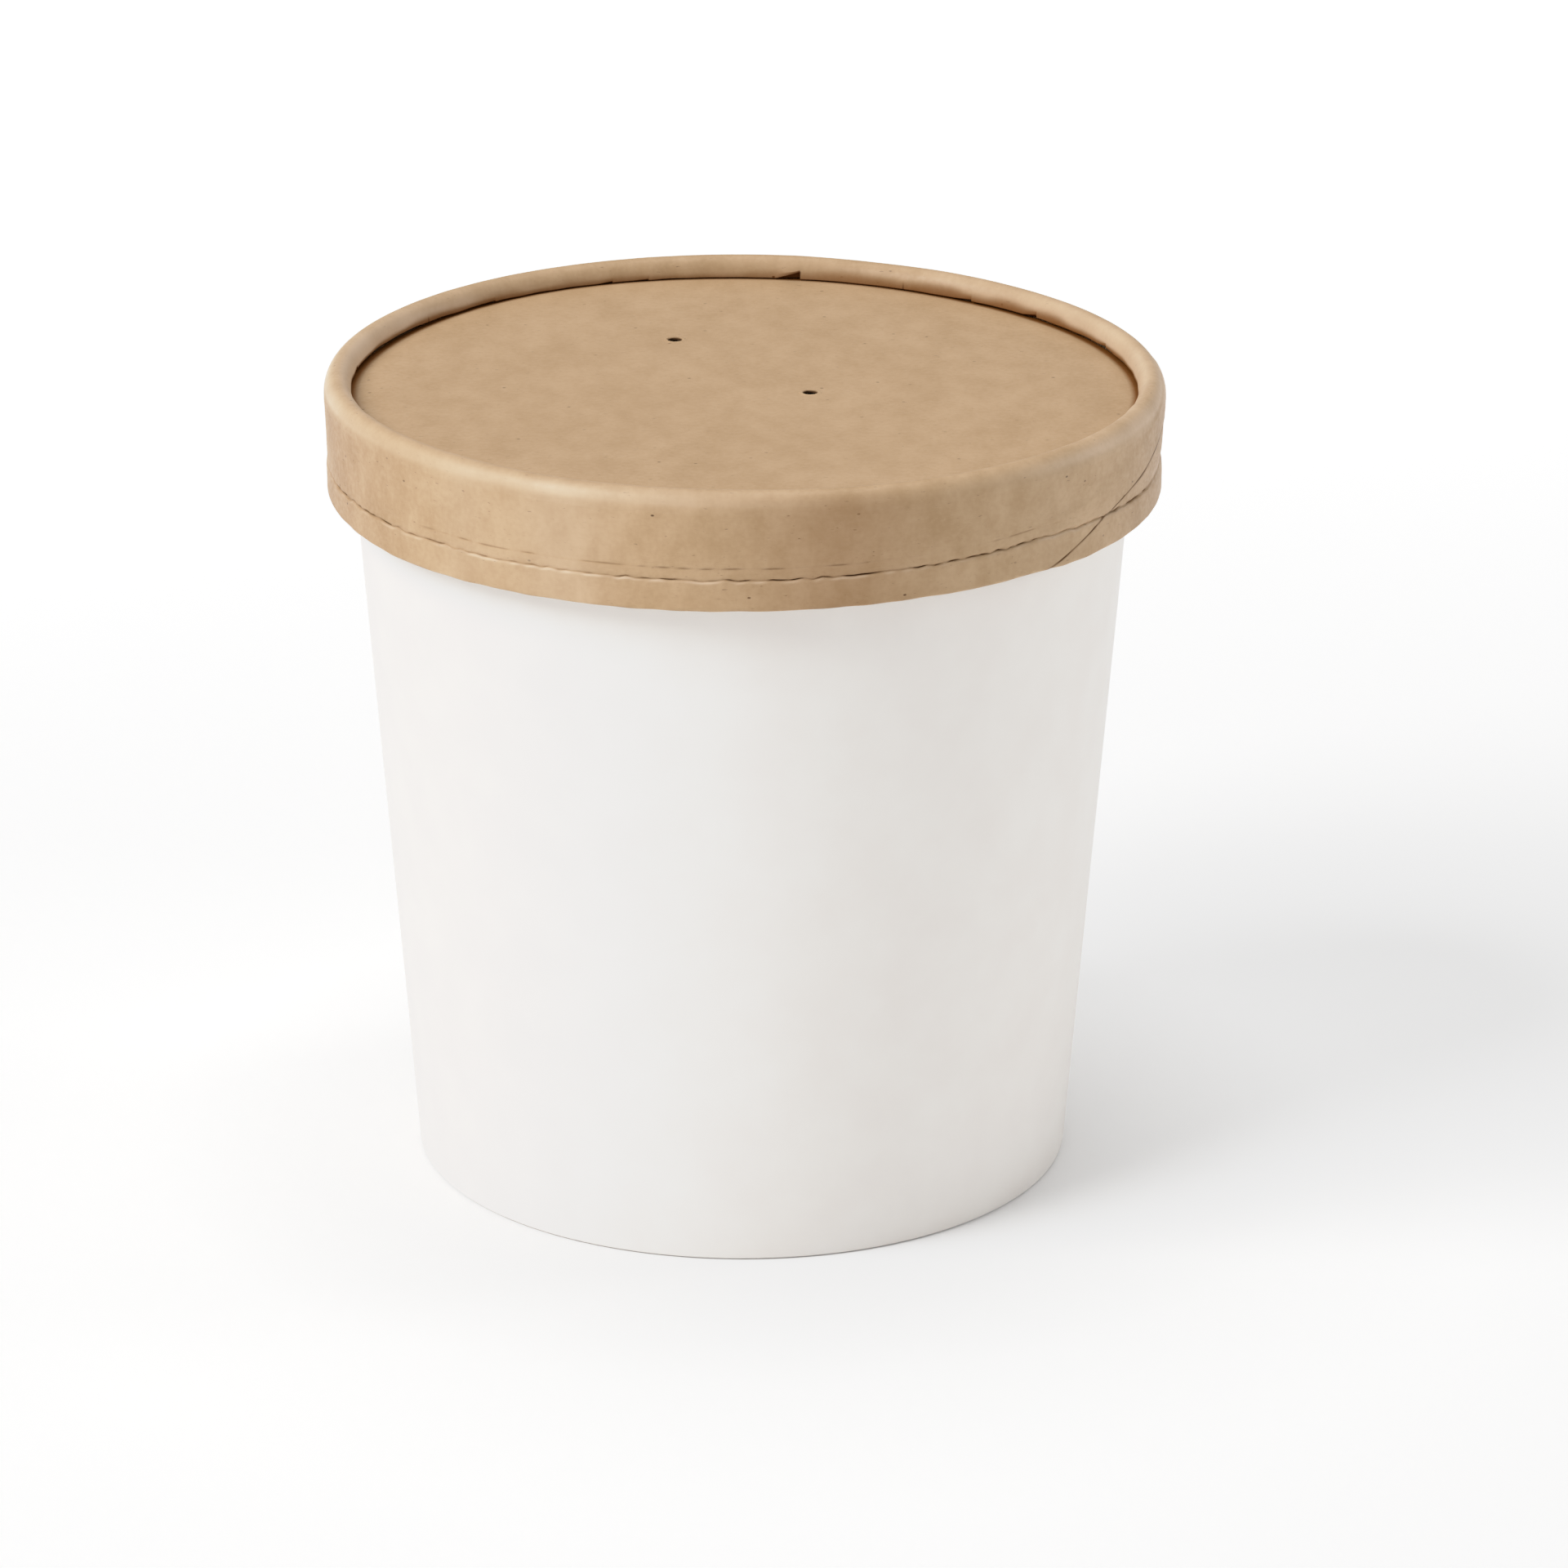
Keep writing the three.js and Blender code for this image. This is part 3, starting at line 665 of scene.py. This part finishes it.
# The lid's disc: a sheet of rings and columns with a patch round each vent, its lower copy, and the walls.
# In a patch, rings go from its border to the vent's circle: border * (1 - share) + circle * share.
def makeLidDisc(sizes):
    outer = lidRadius - bandSizes["wall"] - sizes["edgeGap"]
    ringRadius = np.linspace(sizes["innerRadius"], outer, sizes["rows"])
    angle = np.arange(sizes["columns"]) * 2 * np.pi / sizes["columns"]
    flat = roundPoints(ringRadius[:, None], angle[None, :], np.zeros((len(ringRadius), 1)))[..., :2]
    index = np.arange(flat.shape[0] * flat.shape[1]).reshape(flat.shape[:2])
    kept = np.ones(index.shape, bool)  # cells that stay, named by their first corner
    sheet, faces, rims = [flat.reshape(-1, 2)], [], []
    for centre in sizes["vents"]:
        centre = np.array(centre)
        away, turn = np.hypot(*centre), np.arctan2(centre[0], -centre[1])
        low, high = np.searchsorted(ringRadius, [away - sizes["ventWindow"], away + sizes["ventWindow"]])
        wide = sizes["ventWindow"] / away
        left = int(np.floor(((turn - wide) % (2 * np.pi)) / angle[1]))
        span = int(np.ceil(2 * wide / angle[1])) + 1
        across = (left + np.arange(span + 1)) % sizes["columns"]
        kept[low:high, across[:-1]] = False
        loop = np.concatenate([index[low, across[:-1]], index[low:high, across[-1]],
                               index[high, across[:0:-1]], index[high:low:-1, across[0]]])
        border = sheet[0][loop]
        bearing = border - centre
        circle = centre + sizes["ventRadius"] * bearing / np.linalg.norm(bearing, axis=1, keepdims=True)
        share = (np.linspace(0, 1, sizes["ventRings"] + 1)[1:] ** sizes["ringBunch"])[:, None, None]
        rings = border[None] * (1 - share) + circle[None] * share
        first = sum(len(part) for part in sheet)
        ringIndex = np.vstack([loop[None], first + np.arange(rings[..., 0].size).reshape(rings.shape[:2])])
        ringIndex = np.hstack([ringIndex, ringIndex[:, :1]])
        faces.append(cellCorners(ringIndex))
        rims.append(ringIndex[-1])
        sheet.append(rings.reshape(-1, 2))
    index = np.hstack([index, index[:, :1]])
    upper = np.vstack([cellCorners(index)[kept[:-1].ravel()]] + faces)
    plan = np.vstack(sheet)
    points = np.column_stack([plan, discHeight(plan[:, 0], plan[:, 1], sizes)])
    away = np.min([np.hypot(*(plan - centre).T) for centre in sizes["vents"]], axis=0) - sizes["ventRadius"]
    thickness = discThickness * (1 - sizes["ventThin"] * (1 - smoothStep(0, sizes["ventReach"], away)))
    lower = points - np.array([[0, 0, 1]]) * thickness[:, None]
    count = len(points)
    walls = np.vstack([cellCorners(np.stack([rim, rim + count])) for rim in [index[-1]] + rims])
    quads = np.vstack([upper[:, ::-1], upper + count, walls[:, ::-1]])
    middle = np.array([[0, 0, points[index[0, :-1], 2].mean()]])
    allPoints = np.vstack([points, lower, middle, middle - [0, 0, discThickness]])
    pole = np.full(sizes["columns"], 2 * count)
    fan = np.stack([pole, index[0, :-1], index[0, 1:]], -1)
    fanLow = np.stack([pole + 1, index[0, 1:] + count, index[0, :-1] + count], -1)
    corners = np.concatenate([quads.ravel(), fan.ravel(), fanLow.ravel()])
    crease = np.zeros(len(allPoints))
    # painted shade inside each vent, at its upper and lower edge
    for rim in rims:
        crease[rim], crease[rim + count] = sizes["ventDark"]
    # painted shade on the disc under the roll's inner edge
    underRoll = smoothStep(*sizes["darkEdge"], np.hypot(allPoints[:, 0], allPoints[:, 1]) - rollInside)
    allFaces = quads.tolist() + fan.tolist() + fanLow.tolist()
    piece = addPiece("kraft_disc", seatLid(allPoints), allFaces, allPoints[corners, :2], crease)
    addMark(piece.data, "shade", underRoll)
    return piece


# A colour picked as 0 to 255 on screen, as the linear values that a shader takes: value / 12.92 near black,
# and ((value + 0.055) / 1.055) to the power of 2.4 above
def screenColour(red, green, blue):
    value = np.array([red, green, blue]) / 255
    linear = np.where(value <= 0.04045, value / 12.92, ((value + 0.055) / 1.055) ** 2.4)
    return (*linear.tolist(), 1)


# Sets a node's inputs, each from a value or from the socket that feeds it
def setInputs(tree, node, inputs):
    for key, value in inputs.items():
        if isinstance(value, bpy.types.NodeSocket):
            tree.links.new(value, node.inputs[key])
        else:
            node.inputs[key].default_value = value


# Adds a node with its settings and inputs
def addNode(tree, kind, settings=None, inputs=None):
    node = tree.nodes.new(kind)
    for key, value in (settings or {}).items():
        setattr(node, key, value)
    setInputs(tree, node, inputs or {})
    return node


# Joins two values by a sum, a product or the larger of both
def joinValues(tree, operation, first, second):
    return addNode(tree, "ShaderNodeMath", {"operation": operation}, {0: first, 1: second}).outputs[0]


# Mixes two colours by a factor, through the colour sockets 6, 7 and 2
def mixColours(tree, factor, under, over):
    return addNode(tree, "ShaderNodeMix", {"data_type": "RGBA"}, {0: factor, 6: under, 7: over}).outputs[2]


# Brings a range of values to another range, held at its ends
def ranged(tree, value, low, high, newLow, newHigh):
    limits = {"Value": value, "From Min": low, "From Max": high, "To Min": newLow, "To Max": newHigh}
    return addNode(tree, "ShaderNodeMapRange", None, limits).outputs["Result"]


# Lays one colour over another: not at all at the range's start, and up to a most at its end
def laidOver(tree, under, value, limits, most, over):
    return mixColours(tree, ranged(tree, value, *limits, 0, most), under, over)


# A coordinate turned by an angle in degrees and stretched
def stretched(tree, coordinate, scale, turn=0):
    mapping = {"Vector": coordinate, "Rotation": (0, 0, np.radians(turn)), "Scale": scale}
    return addNode(tree, "ShaderNodeMapping", None, mapping).outputs[0]


# Noise on a coordinate that is turned and stretched first
def stretchedNoise(tree, coordinate, scale, turn=0, detail=2.0):
    place = stretched(tree, coordinate, scale, turn)
    noise = {"Vector": place, "Scale": 1.0, "Detail": detail}
    return addNode(tree, "ShaderNodeTexNoise", None, noise).outputs["Fac"]


# The value that a piece's points carry under a name
def markValue(tree, name):
    return addNode(tree, "ShaderNodeAttribute", {"attribute_name": name}).outputs["Fac"]


# Fine relief from a height, for a shader's normal
def fineRelief(tree, height, strength, distance):
    bump = {"Strength": strength, "Distance": distance, "Height": height}
    return addNode(tree, "ShaderNodeBump", None, bump).outputs[0]


# A new material with its node tree and its shader
def newFinish(name):
    material = bpy.data.materials.new(name)
    material.use_nodes = True
    return material, material.node_tree, material.node_tree.nodes["Principled BSDF"]


# Unbleached kraft board: faintly cloudy brown with a fine grain, short fibres in several directions and
# small dark specks, with painted shade from its crease and shade marks and painted highlight where the
# crease mark is below zero
def kraftBoard(name, look):
    material, tree, shader = newFinish(name)
    place = addNode(tree, "ShaderNodeUVMap", {"uv_map": "strip"}).outputs[0]
    broad = stretchedNoise(tree, place, look["broadScale"])
    clouds = stretchedNoise(tree, place, look["cloudScale"], detail=3.0)
    grain = stretchedNoise(tree, place, look["grainScale"], detail=3.0)
    fine = stretchedNoise(tree, place, look["fineScale"])
    cloudy = joinValues(tree, "ADD", broad, clouds)
    colour = laidOver(tree, look["dark"], cloudy, look["cloudRange"], 1, look["light"])
    for limits, tint in zip(look["grainRanges"], ("fibreDark", "fibreLight")):
        colour = laidOver(tree, colour, grain, limits, look["grain"], look[tint])
    for turn, tint in look["fibres"]:
        fibre = stretchedNoise(tree, place, look["fibreScale"], turn)
        colour = laidOver(tree, colour, fibre, look["fibreRange"], look["fibre"], look[tint])
    hairs = stretchedNoise(tree, place, look["hairScale"], look["hairTurn"])
    colour = laidOver(tree, colour, hairs, look["hairRange"], look["hair"], look["speck"])
    spread = {"Vector": stretched(tree, place, look["speckSpacing"], look["speckTurn"]), "Scale": 1.0}
    cells = addNode(tree, "ShaderNodeTexVoronoi", {"voronoi_dimensions": "2D"}, spread)
    chosen = addNode(tree, "ShaderNodeSeparateColor", None, {"Color": cells.outputs["Color"]}).outputs[0]
    spot = ranged(tree, cells.outputs["Distance"], *look["speckSize"], 1, 0)
    kept = ranged(tree, chosen, 1 - look["speckShare"], 1, 0, look["speckDark"])
    colour = mixColours(tree, joinValues(tree, "MULTIPLY", spot, kept), colour, look["speck"])
    # painted shade from the shade and crease marks, painted highlight where the crease mark is below zero
    crease, shade = markValue(tree, "crease"), markValue(tree, "shade")
    colour = mixColours(tree, shade, colour, look["shade"])
    colour = laidOver(tree, colour, crease, (0, 1), look["creaseMost"], look["crease"])
    colour = laidOver(tree, colour, crease, (0, -1), look["highlightMost"], look["worn"])
    rough = ranged(tree, grain, *look["roughRange"], *look["roughness"])
    dull = ranged(tree, joinValues(tree, "MAXIMUM", crease, shade), 0, look["dullFrom"], *look["specular"])
    relief = fineRelief(tree, joinValues(tree, "ADD", fine, grain), *look["relief"])
    setInputs(tree, shader, {"Base Color": colour, "Roughness": rough, "Specular IOR Level": dull,
                             "Normal": relief})
    return material


# White coated paper: an even warm white with a faint formation, a soft sheen, and grey in the seam and folds
def whitePaper(name, look):
    material, tree, shader = newFinish(name)
    place = addNode(tree, "ShaderNodeTexCoord").outputs["Object"]
    clouds = stretchedNoise(tree, place, look["cloudScale"], detail=3.0)
    fine = stretchedNoise(tree, place, look["fineScale"])
    colour = laidOver(tree, look["dark"], clouds, look["cloudRange"], 1, look["light"])
    colour = laidOver(tree, colour, markValue(tree, "crease"), (0, 1), look["creaseMost"], look["crease"])
    rough = ranged(tree, fine, *look["roughRange"], *look["roughness"])
    relief = fineRelief(tree, fine, *look["relief"])
    setInputs(tree, shader, {"Base Color": colour, "Roughness": rough, "Normal": relief,
                             "Specular IOR Level": look["specular"]})
    return material


# Scales are cells to the metre each way, ranges are of the noise, and turns are in degrees
kraftLook = {
    "light": screenColour(188, 158, 123),
    "dark": screenColour(178, 147, 111),
    "broadScale": (110, 70, 1),
    "cloudScale": (330, 240, 1),
    "cloudRange": (0.75, 1.25),
    "grain": 0.18,
    "grainScale": (1500, 1500, 1),
    "grainRanges": ((0.5, 0.75), (0.5, 0.25)),  # darker and lighter
    "fineScale": (4200, 4200, 1),
    "fibre": 0.16,
    "fibreScale": (650, 5200, 1),
    "fibreRange": (0.6, 0.8),
    "fibres": ((15, "fibreDark"), (78, "fibreLight"), (-48, "fibreDark")),
    "fibreDark": screenColour(156, 125, 90),
    "fibreLight": screenColour(202, 175, 140),
    "hair": 0.55,
    "hairScale": (900, 4200, 1),
    "hairRange": (0.69, 0.76),
    "hairTurn": 62,
    "speck": screenColour(84, 56, 30),
    "speckSpacing": (230, 400, 1),
    "speckTurn": 25,
    "speckShare": 0.12,  # of the cells
    "speckSize": (0.03, 0.06),  # of a cell: full within the first, gone at the second
    "speckDark": 0.95,
    # painted shade in creases and gaps, painted warm shade, and painted highlight on edges and the roll
    "crease": screenColour(68, 35, 9),
    "creaseMost": 0.92,
    "shade": screenColour(118, 68, 19),  # painted warm shade under the roll and where the band lies in shade
    "worn": screenColour(223, 200, 175),
    "highlightMost": 0.8,
    "roughRange": (0.3, 0.7),
    "roughness": (0.4, 0.52),
    "specular": (0.3, 0.03),  # on the open surface and in a crease
    "dullFrom": 0.6,  # share of a crease that is fully dull
    "relief": (0.3, 0.03 * mm),  # strength and depth
}
# the band is a little cloudier than the disc, and the disc is finer
bandLook = {**kraftLook, "light": screenColour(191, 161, 126), "dark": screenColour(175, 144, 107)}
discLook = {**kraftLook, "grain": 0.14, "fibre": 0.13}
paperLook = {
    "light": screenColour(242, 238, 233),
    "dark": screenColour(239, 234, 229),
    "cloudScale": (130, 130, 130),
    "cloudRange": (0.3, 0.7),
    "fineScale": (2200, 2200, 2200),
    "crease": screenColour(196, 192, 186),
    "creaseMost": 0.5,
    "roughRange": (0.3, 0.7),
    "roughness": (0.48, 0.6),
    "specular": 0.06,
    "relief": (0.12, 0.01 * mm),
}

cup = makeCup(cupSizes)
band = makeLidBand(bandSizes)
disc = makeLidDisc(discSizes)
finishes = [(cup, "cup", "white_paper", whitePaper("white_paper", paperLook)),
            (band, "lid_band", "kraft_band", kraftBoard("kraft_band", bandLook)),
            (disc, "lid_disc", "kraft_disc", kraftBoard("kraft_disc", discLook))]
for piece, node, slot, material in finishes:
    piece.data.materials.append(material)
    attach(piece, "root")
    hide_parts(node)
print("pieces dressed")

studio = {
    "floorHalf": 3.0,
    "floorSteps": 9,
    "floorDrop": 0.02 * mm,  # under the foot
    "floorColour": screenColour(252, 252, 252),
    "floorRoughness": 0.9,
    "floorGlow": (0.11, 0.5),  # at the cup and far behind it, so that the pale floor stays white
    "floorReach": (0.1, 0.6),
    "contact": (0.036, 0.075),  # the glow starts away from the foot, for a soft contact shadow
    "white": (1, 1, 1, 1),  # colour of the glow and of the light from all round
    "world": 0.35,
    "lights": {  # turn, rise, power, size and distance
        "key": (-62, 43, 68.0, 1.75, 3.0),
        "rim": (105, 13, 16.0, 1.1, 3.0),
        "top": (180, 80, 32.5, 2.4, 3.0),
    },
    "shoulder": [(0.45, 0.45), (0.66, 0.655), (0.86, 0.8), (1.12, 0.888)],  # value and how it is shown
    "whiteLevel": 1.32,
}


# The floor: an even grid of level points, with a glow that grows towards the back, times a share that grows
# away from the foot
def makeFloor(setup):
    steps = np.linspace(-setup["floorHalf"], setup["floorHalf"], setup["floorSteps"])
    x, y = np.meshgrid(steps, steps)
    points = np.stack([x, y, np.full_like(x, -setup["floorDrop"])], -1).reshape(-1, 3)
    mesh = bpy.data.meshes.new("floor")
    mesh.from_pydata(points.tolist(), [], cellCorners(np.arange(x.size).reshape(x.shape)).tolist())
    material, tree, shader = newFinish("pale_floor")
    place = addNode(tree, "ShaderNodeTexCoord").outputs["Object"]
    back = addNode(tree, "ShaderNodeSeparateXYZ", None, {0: place}).outputs["Y"]
    away = addNode(tree, "ShaderNodeVectorMath", {"operation": "LENGTH"}, {0: place}).outputs["Value"]
    glow = ranged(tree, back, *setup["floorReach"], *setup["floorGlow"])
    glow = joinValues(tree, "MULTIPLY", glow, ranged(tree, away, *setup["contact"], 0, 1))
    setInputs(tree, shader, {"Base Color": setup["floorColour"], "Roughness": setup["floorRoughness"],
                             "Emission Color": setup["white"], "Emission Strength": glow})
    mesh.materials.append(material)
    floor = addObject("floor", mesh)


# Puts a light or a camera into the scene, with its own axes and its place as the columns of its matrix
def placeObject(name, data, right, up, back, place):
    turned = np.eye(4)
    turned[:3] = np.stack([right, up, back, place], -1)
    thing = addObject(name, data)
    thing.matrix_world = Matrix(turned.tolist())
    return thing


# A round soft light at a turn round the axis and a rise over the floor, in degrees: its place is the middle
# of the cup plus that direction times the distance
def addSoftLight(name, turn, rise, power, size, distance):
    turn, rise = np.radians(turn), np.radians(rise)
    data = bpy.data.lights.new(name, "AREA")
    data.shape, data.size, data.energy = "DISK", size, power
    away = np.array([np.sin(turn) * np.cos(rise), -np.cos(turn) * np.cos(rise), np.sin(rise)])
    aim = np.array([0, 0, crest / 2])
    side = np.cross([0, 0, 1], away)
    side = side / np.linalg.norm(side)
    placeObject(name, data, side, np.cross(away, side), away, aim + away * distance)


cameraView = {
    "imageSize": 1920,  # pixels along each side of the photograph
    "focalPixels": 8472.17,
    "distance": 0.8,  # level distance to the cup's axis
    "height": 0.341727,
    "pitch": np.radians(20.282), "yaw": np.radians(0.368), "roll": np.radians(-0.153),
    "sensor": 36.0,
    "clip": (0.05, 20),
}


# The camera in front of the cup, looking down: forward from pitch and yaw, then turned by the roll.
# Its lens is the focal length in pixels over the image's, times the sensor.
def addCamera(view):
    pitch, yaw, roll = view["pitch"], view["yaw"], view["roll"]
    forward = np.array([np.sin(yaw) * np.cos(pitch), np.cos(yaw) * np.cos(pitch), -np.sin(pitch)])
    level = np.array([np.cos(yaw), -np.sin(yaw), 0])
    down = np.cross(forward, level)
    right = np.cos(roll) * level + np.sin(roll) * down
    up = np.sin(roll) * level - np.cos(roll) * down
    data = bpy.data.cameras.new("camera")
    data.sensor_width = view["sensor"]
    data.lens = view["focalPixels"] / view["imageSize"] * view["sensor"]
    data.clip_start, data.clip_end = view["clip"]
    place = np.array([0, -view["distance"], view["height"]])
    bpy.context.scene.camera = placeObject("camera", data, right, up, -forward, place)


# Bends the brightest values as film does: straight up to a knee, then flatter, so that white comes later.
# The fourth curve is the one for all colours together.
def softenHighlights(bends, white):
    view = bpy.context.scene.view_settings
    view.view_transform = "Standard"
    view.use_curve_mapping = True
    view.curve_mapping.white_level = (white, white, white)
    for value, shownValue in bends:
        view.curve_mapping.curves[3].points.new(value / white, shownValue)
    view.curve_mapping.update()


makeFloor(studio)
for name, setting in studio["lights"].items():
    addSoftLight(name, *setting)
world = bpy.data.worlds.new("studio")
world.use_nodes = True
around = world.node_tree.nodes["Background"]
setInputs(world.node_tree, around, {"Color": studio["white"], "Strength": studio["world"]})
bpy.context.scene.world = world
softenHighlights(studio["shoulder"], studio["whiteLevel"])
addCamera(cameraView)
print("studio ready")
